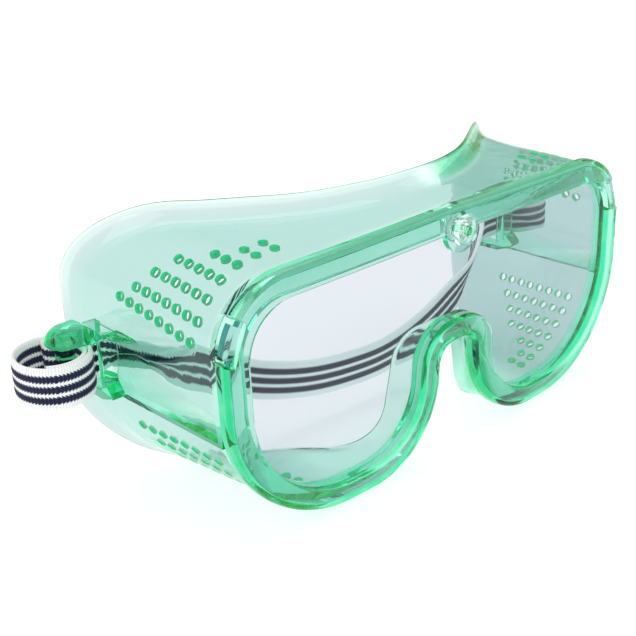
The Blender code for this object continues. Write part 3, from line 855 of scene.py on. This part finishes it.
def band_set(u, total):
    """Roll, width share and pleat of the slack band at u mm from its left end."""
    bunch = smoothstep(3.0, 9.0, u) * fade(20.0, 34.0, u)
    right = smoothstep(total - 50.0, total - 34.0, u) * fade(total - 20.0, total - 8.0, u)
    return 0.55 * bunch + 0.38 * right, 1.0 - 0.22 * bunch, 0.6 * bunch


def make_band(mat):
    line = smooth_line([Vector(p) for p in BAND_ROUTE], 24)
    return webbing("woven_band", line, mat, STRAP_WIDTH, STRAP_THICKNESS, band_set)


def ring_line(side, start, end, radius):
    """Part of the loop's circle. Angle 0 points outwards and 90 degrees rearwards."""
    count = 60
    points = []
    for k in range(count + 1):
        angle = math.radians(start + (end - start) * k / count)
        points.append(Vector((side * (LOOP_X + radius * math.cos(angle)),
                              LUG_Y + radius * math.sin(angle), STRAP_MID_HEIGHT)))
    return points


TAIL_ROUTE = (
    (86.3, 58.8, 0.0), (88.6, 60.2, 0.0), (91.2, 61.3, -0.2), (93.4, 62.4, -0.5),
    (94.6, 63.8, -0.4), (94.3, 65.2, -0.2), (92.8, 65.4, 0.0), (91.0, 64.8, 0.0),
)


def flat_set(_u, _total):
    """Webbing that stands flat: no roll, its full width and no pleat."""
    return 0.0, 1.0, 0.0


def make_loop(name, side, mat):
    """The doubled end of the strap, standing loose round the post, with its tail inside."""
    outer = ring_line(side, -62.0 + 360.0, -66.0, LOOP_RADIUS + 0.66)
    inner = ring_line(side, 168.0, 308.0, LOOP_RADIUS - 0.72)
    tail = smooth_line([Vector((side * x, y, STRAP_MID_HEIGHT + z)) for x, y, z in TAIL_ROUTE], 16)
    made = []
    for part, line, start in (("outer", outer, 0.0), ("inner", inner, 7.3), ("tail", tail, 3.1)):
        made.append(webbing(name + "_" + part, line, mat, LOOP_WIDTH, STRAP_THICKNESS - 0.05,
                            flat_set, start))
    return made


def make_tack(name, side, mat):
    """A block of zigzag stitches through the doubled front of the loop."""
    radius = LOOP_RADIUS - 2.05
    points = []
    for k in range(STITCH_PASSES * 2 + 1):
        angle = math.radians(-128.0 + 30.0 * k / (STITCH_PASSES * 2))
        height = STRAP_MID_HEIGHT + (STITCH_HALF if k % 2 else -STITCH_HALF)
        points.append(Vector((side * (LOOP_X + radius * math.cos(angle)),
                              LUG_Y + radius * math.sin(angle), height)))
    line = evenly(smooth_line(points, 12), 0.3)
    rings = []
    for i, spot in enumerate(line):
        one = heading(line, i).cross(Vector((0.3, 1.0, 0.2))).normalized()
        two = heading(line, i).cross(one)
        rings.append([settled(place(*(spot + (one * c + two * s) * THREAD_RADIUS)))
                      for c, s in circle(8)])
    return new_object(name, solid(rings), mat)


# ---------------------------------------------------------------- materials

class Nodes:
    """Small helper that adds nodes to a material and links them."""

    def __init__(self, name):
        self.mat = bpy.data.materials.new(name)
        self.mat.use_nodes = True
        self.tree = self.mat.node_tree
        self.shader = self.tree.nodes["Principled BSDF"]
        self.output = self.tree.nodes["Material Output"]

    def add(self, kind, **settings):
        node = self.tree.nodes.new("ShaderNode" + kind)
        for key, value in settings.items():
            setattr(node, key, value)
        return node

    def link(self, source, target):
        self.tree.links.new(source, target)

    def value(self, key, number):
        self.shader.inputs[key].default_value = number

    def maths(self, operation, one, two=None):
        node = self.add("Math", operation=operation)
        for socket, item in zip(node.inputs, (one, two)):
            if isinstance(item, (int, float)):
                socket.default_value = item
            elif item is not None:
                self.link(item, socket)
        return node.outputs[0]

    def noise(self, scale, detail=3.0, stretch=None):
        coords = self.add("TexCoord").outputs["Object"]
        if stretch:
            mapping = self.add("Mapping")
            mapping.inputs["Scale"].default_value = stretch
            self.link(coords, mapping.inputs["Vector"])
            coords = mapping.outputs["Vector"]
        node = self.add("TexNoise")
        node.inputs["Scale"].default_value = scale
        node.inputs["Detail"].default_value = detail
        self.link(coords, node.inputs["Vector"])
        return node.outputs["Fac"]

    def ranged(self, source, low, high, to_low, to_high, smooth=False):
        node = self.add("MapRange")
        if smooth:
            node.interpolation_type = "SMOOTHSTEP"
        for key, number in (("From Min", low), ("From Max", high), ("To Min", to_low),
                            ("To Max", to_high)):
            node.inputs[key].default_value = number
        self.link(source, node.inputs["Value"])
        return node.outputs["Result"]

    def ramp(self, source, low, high, low_at=0.0, high_at=1.0):
        """Colours a value from low to high between two positions."""
        node = self.add("ValToRGB")
        for element, colour, position in zip(node.color_ramp.elements, (low, high),
                                             (low_at, high_at)):
            element.color = (*colour, 1.0)
            element.position = position
        self.link(source, node.inputs["Fac"])
        return node.outputs["Color"]

    def colour(self, source):
        self.link(source, self.shader.inputs["Base Color"])

    def bump(self, source, strength, distance):
        node = self.add("Bump")
        node.inputs["Strength"].default_value = strength
        node.inputs["Distance"].default_value = distance * MM
        self.link(source, node.inputs["Height"])
        self.link(node.outputs["Normal"], self.shader.inputs["Normal"])

    def absorb(self, colour, density):
        volume = self.add("VolumeAbsorption")
        volume.inputs["Color"].default_value = (*colour, 1.0)
        volume.inputs["Density"].default_value = density
        self.link(volume.outputs["Volume"], self.output.inputs["Volume"])

    def let_light_through(self):
        """Lamps reach what is inside or behind the glass without refracting."""
        clear = self.add("BsdfTransparent")
        path = self.add("LightPath")
        mix = self.add("MixShader")
        self.link(path.outputs["Is Shadow Ray"], mix.inputs["Fac"])
        self.link(self.shader.outputs["BSDF"], mix.inputs[1])
        self.link(clear.outputs["BSDF"], mix.inputs[2])
        self.link(mix.outputs["Shader"], self.output.inputs["Surface"])


def deepen(n, wall, lip, deep):
    """Colours light through the thicker beads and lugs more strongly than through the walls; along
    the upper rear edge and the right brow the deeper green is painted light, a glow standing in
    for light gathered by internal reflection.
    """
    # The mask read here is partly depth and partly painted light (upper rear edge, right brow).
    depth_and_painted_glow = n.add("Attribute", attribute_name="depth_and_painted_glow").outputs["Fac"]
    ramp = n.add("ValToRGB")
    ramp.color_ramp.elements[0].color = (*wall, 1.0)
    ramp.color_ramp.elements[1].color = (*deep, 1.0)
    ramp.color_ramp.elements.new(LIP_SHARE).color = (*lip, 1.0)
    patches = n.ranged(n.noise(160.0, 3.0), 0.3, 0.7, -0.12, 0.12)
    n.link(n.maths("MULTIPLY", depth_and_painted_glow, n.maths("ADD", patches, 1.0)), ramp.inputs["Fac"])
    n.colour(ramp.outputs["Color"])
    return n.mat


def make_bore_material():
    """The moulded walls of the vent holes, less clear and of a stronger green: partly the walls'
    own colour, partly painted light, a bright green standing in for the light that the hole walls
    gather.
    """
    n = Nodes("vent_bore_painted_glow")
    # Painted light in part: the bright green stands in for light gathered in the hole walls.
    n.colour(n.ramp(n.noise(700.0, 2.0), (0.01, 0.70, 0.30), (0.16, 0.95, 0.56)))
    n.value("Transmission Weight", 0.15)
    n.value("Roughness", 0.25)
    n.value("IOR", 1.38)
    n.absorb((0.0, 0.92, 0.64), 110.0)
    return n.mat


def glassy(name, ior, colour, density, rough, wave_scale, wave, surface=(1.0, 1.0, 1.0)):
    """Clear moulded plastic: faint flow waves, handling marks in its gloss, tint in its depth."""
    n = Nodes(name)
    n.value("Base Color", (*surface, 1.0))
    n.value("Transmission Weight", 1.0)
    n.value("IOR", ior)
    marks = n.noise(90.0, 4.0)
    n.link(n.ranged(marks, 0.35, 0.7, rough[0], rough[1]), n.shader.inputs["Roughness"])
    n.bump(n.noise(wave_scale, 2.0), 0.35, wave)
    n.absorb(colour, density)
    n.let_light_through()
    return n


def make_webbing_material(name, shaded_furrow, lit_crown):
    """White ribbed elastic with three navy stripes of chain stitches.

    The two values are how bright the white is between and on its ribs: painted shade in the
    furrows and painted light on the crowns.
    """
    n = Nodes(name)
    uv = n.add("UVMap", uv_map="weave")
    split = n.add("SeparateXYZ")
    n.link(uv.outputs["UV"], split.inputs["Vector"])
    u, v = split.outputs["X"], split.outputs["Y"]
    across = n.maths("ABSOLUTE", v)
    offset = n.maths("PINGPONG", across, STRIPE_PITCH / 2.0)
    phase = n.maths("ADD", n.maths("DIVIDE", u, KNOT_PITCH),
                    n.maths("MULTIPLY", offset, 0.9 / STRIPE_HALF))
    crest = n.maths("ABSOLUTE", n.maths("SINE", n.maths("MULTIPLY", phase, math.pi)))
    edge = n.maths("ADD", offset, n.maths("MULTIPLY", crest, -0.55))
    stripe = n.ranged(edge, STRIPE_HALF - 0.48, STRIPE_HALF - 0.34, 1.0, 0.0, True)
    inside = n.ranged(across, STRIPES_HALF, STRIPES_HALF + 0.1, 1.0, 0.0, True)
    stripe = n.maths("MULTIPLY", stripe, inside)
    fuzz = n.noise(2600.0, 3.0)
    # Painted shade and light: the white darker in the furrows between the ribs and lighter on
    # their crowns.
    rib_shading = n.maths("ABSOLUTE", n.maths("SINE", n.maths("MULTIPLY", u, math.pi / RIB_PITCH)))
    lint = n.maths("MULTIPLY", fuzz, 0.3)
    white = n.ramp(n.maths("ADD", n.maths("MULTIPLY", rib_shading, 0.75), lint),
                   (shaded_furrow, shaded_furrow, shaded_furrow), (lit_crown, lit_crown, lit_crown * 0.99), 0.05, 0.6)
    # Painted highlight: the navy lighter on the crests of the knots.
    navy = n.ramp(n.maths("ADD", n.maths("MULTIPLY", crest, 0.7), lint),
                  (0.003, 0.004, 0.011), (0.021, 0.029, 0.078), 0.1)
    mix = n.add("Mix", data_type="RGBA")
    for source, key in ((stripe, "Factor"), (white, "A"), (navy, "B")):
        n.link(source, mix.inputs[key])
    n.colour(mix.outputs["Result"])
    n.link(n.ranged(fuzz, 0.3, 0.7, 0.75, 0.95), n.shader.inputs["Roughness"])
    n.value("Sheen Weight", 0.05)
    n.value("Specular IOR Level", 0.2)
    n.bump(fuzz, 0.4, 0.12)
    return n.mat


def make_thread_material(name):
    n = Nodes(name)
    twist = n.noise(1500.0, 2.0, (1.0, 1.0, 3.0))
    n.colour(n.ramp(twist, (0.55, 0.56, 0.56), (0.88, 0.88, 0.86)))
    n.value("Roughness", 0.7)
    n.value("Sheen Weight", 0.2)
    n.bump(twist, 0.6, 0.1)
    return n.mat


def floor_material():
    n = Nodes("studio_floor")
    n.colour(n.ramp(n.noise(3.0, 4.0), (0.50, 0.50, 0.50), (0.53, 0.53, 0.53)))
    n.value("Roughness", 0.9)
    n.value("Specular IOR Level", 0.1)
    n.value("Emission Color", (1.0, 1.0, 1.0, 1.0))
    n.value("Emission Strength", FLOOR_GLOW)
    return n.mat


# ---------------------------------------------------------------- studio

def make_camera():
    azimuth, elevation, roll = (math.radians(a) for a in
                                (CAMERA_AZIMUTH, CAMERA_ELEVATION, CAMERA_ROLL))
    forward = Vector((math.sin(azimuth) * math.cos(elevation),
                      math.cos(azimuth) * math.cos(elevation), -math.sin(elevation)))
    level = Vector((math.cos(azimuth), -math.sin(azimuth), 0.0))
    upright = level.cross(forward)
    right = level * math.cos(roll) + upright * math.sin(roll)
    up = upright * math.cos(roll) - level * math.sin(roll)
    spot = right * CAMERA_SHIFT[0] + up * CAMERA_SHIFT[1] - forward * CAMERA_DISTANCE
    data = bpy.data.cameras.new("camera")
    data.lens = CAMERA_LENS
    data.sensor_width = 36.0
    data.clip_start = 0.01
    obj = bpy.data.objects.new("camera", data)
    turn = Matrix((right, up, -forward)).transposed()
    obj.matrix_world = Matrix.Translation(place(*spot)) @ turn.to_4x4()
    bpy.context.scene.collection.objects.link(obj)
    bpy.context.scene.camera = obj


def make_light(name, spot, aim, size, power):
    data = bpy.data.lights.new(name, "AREA")
    data.shape = "RECTANGLE"
    data.size, data.size_y = size
    data.energy = power
    obj = bpy.data.objects.new(name, data)
    obj.location = spot
    direction = Vector(aim) - Vector(spot)
    obj.rotation_euler = direction.to_track_quat("-Z", "Y").to_euler()
    bpy.context.scene.collection.objects.link(obj)


def make_studio():
    scene = bpy.context.scene
    world = bpy.data.worlds.new("studio")
    world.use_nodes = True
    backdrop = world.node_tree.nodes["Background"]
    backdrop.inputs["Color"].default_value = (0.97, 0.985, 1.0, 1.0)
    backdrop.inputs["Strength"].default_value = WORLD_LIGHT
    scene.world = world
    scene.view_settings.view_transform = "Standard"
    for kind in ("max_bounces", "glossy_bounces", "transmission_bounces",
                 "transparent_max_bounces"):
        setattr(scene.cycles, kind, LIGHT_BOUNCES)
    bm = bmesh.new()
    bmesh.ops.create_grid(bm, x_segments=8, y_segments=8, size=6.0)
    ground = new_object("studio_ground", bm, floor_material())
    ground.location.z = -0.0004
    middle = (0.0, 0.0, 0.04)
    make_light("softbox_left", (-0.75, 0.25, 0.75), middle, (0.7, 0.5), 2.2)
    make_light("softbox_top", (0.15, 0.30, 1.0), middle, (0.9, 0.5), 2.4)
    make_light("softbox_right", (0.8, -0.2, 0.55), middle, (0.35, 0.7), 1.0)
    make_light("softbox_front", (-0.35, -1.0, 0.45), middle, (0.9, 0.6), 3.2)


# ---------------------------------------------------------------- assembly

def attach(piece, body, slot, *nodes):
    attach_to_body(piece, body)
    if nodes:
        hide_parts(*nodes)


def main():
    make_camera()
    make_studio()
    soft_green = glassy("soft_green_pvc", ior=1.38, colour=(0.0, 0.93, 0.66), density=175.0,
                        rough=(0.0, 0.02), wave_scale=55.0, wave=0.8)
    # The deep green marks the bead and lugs for their depth, and is painted light along the upper
    # rear edge and the right brow.
    pvc = deepen(soft_green, wall=(0.68, 0.73, 0.745), lip=(0.985, 0.97, 0.965),
                 deep=(0.03, 0.65, 0.33))
    clear = glassy("clear_polycarbonate", ior=1.34, colour=(0.5, 0.55, 0.9), density=12.0,
                   rough=(0.0, 0.0), wave_scale=30.0, wave=0.05, surface=(0.71, 0.74, 0.78))
    collar = glassy("clear_nylon", ior=1.42, colour=(0.6, 0.9, 0.8), density=40.0,
                    rough=(0.02, 0.08), wave_scale=200.0, wave=0.4)
    pin = glassy("green_nylon", ior=1.42, colour=(0.0, 0.85, 0.5), density=300.0,
                 rough=(0.05, 0.12), wave_scale=200.0, wave=0.4)
    attach(make_frame(pvc, make_bore_material()), "goggles", "green_pvc", "frame_body")
    attach(make_lens(clear.mat), "goggles", "clear_lens", "lens")
    attach(make_rivet(collar.mat), "goggles", "clear_rivet", "lens_rivet")
    attach(make_pin(pin.mat), "pin", "green_pin", "rivet_pin")
    # Painted light: the band's white is lighter than the loops', making up for the light it loses
    # inside the green frame.
    band_mat_painted_lighter = make_webbing_material("striped_elastic", 0.80, 0.97)
    attach(make_band(band_mat_painted_lighter), "goggles", "striped_webbing", "strap_band")
    for name, side in SIDES:
        # The loops take a darker copy of the same webbing, the band's being painted lighter.
        mat = make_webbing_material("striped_elastic_" + name, 0.62, 0.90)
        node = "strap_loop_" + name
        for piece in make_loop("woven_loop_" + name, side, mat):
            attach(piece, name + "_loop", "striped_webbing_" + name, node)
        thread = make_thread_material("sewing_thread_" + name)
        attach(make_tack("stitches_" + name, side, thread), name + "_loop",
               "white_thread_" + name, "bar_tack_" + name)


main()
